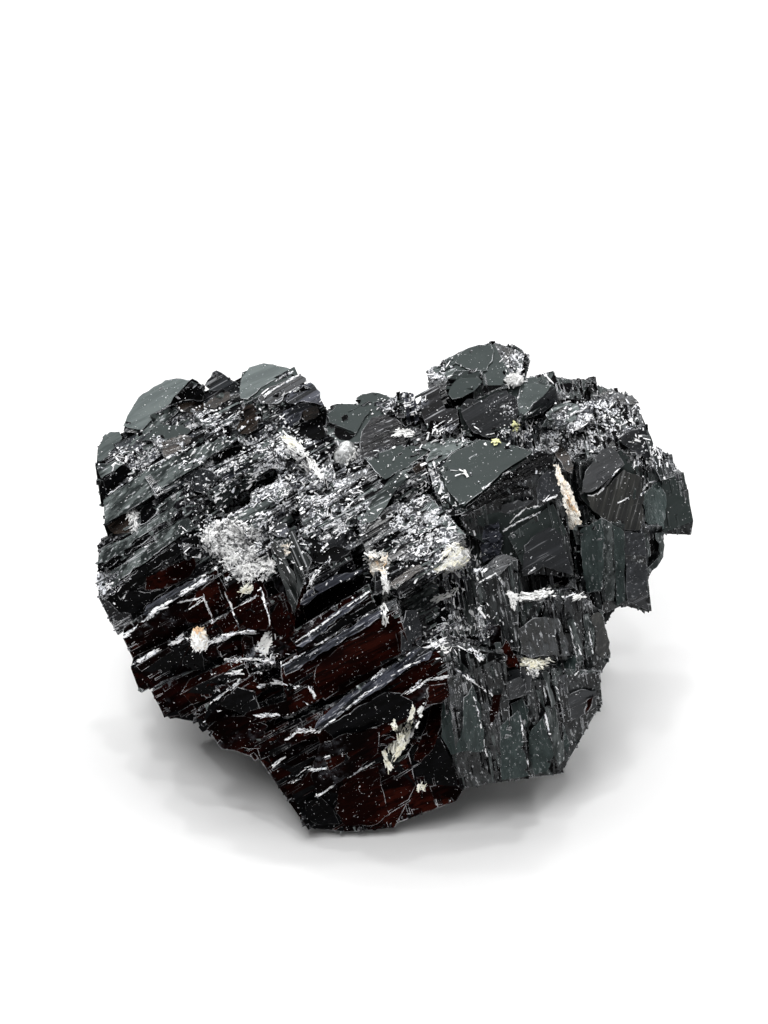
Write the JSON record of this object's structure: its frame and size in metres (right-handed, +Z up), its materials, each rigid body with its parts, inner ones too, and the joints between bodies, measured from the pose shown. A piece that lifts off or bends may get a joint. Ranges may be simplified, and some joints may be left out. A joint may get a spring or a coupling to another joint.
{
  "type": "cassiterite specimen",
  "caption": "A heart-shaped cluster of black, glassy cassiterite crystals with small grains of quartz, mica and feldspar, resting on a flat underside",
  "frame": {"origin": "the middle of the underside of the specimen's box, on the surface it rests on", "axes": "+X to the right as the display side is seen, +Y away from the viewer of the display side, +Z up"},
  "size_m": [0.0606, 0.0416, 0.038],
  "materials": {
    "cassiterite": "black crystal, glassy to adamantine, finely striated",
    "quartz": "clear and glossy",
    "mica": "silvery white, pearly flakes",
    "feldspar": "cream, slightly rough"
  },
  "bodies": {
    "root": {"cassiterite": "cassiterite", "quartz_bead": "quartz", "quartz_grain": "quartz", "mica_patch": "mica", "mica_tuft": "mica", "mica_blades": "mica", "mica_fork": "mica", "mica_sliver": "mica", "mica_lip": "mica", "mica_speck": "mica", "feldspar_bead": "feldspar", "feldspar_vein": "feldspar", "feldspar_chip": "feldspar"}
  },
  "joints": []
}
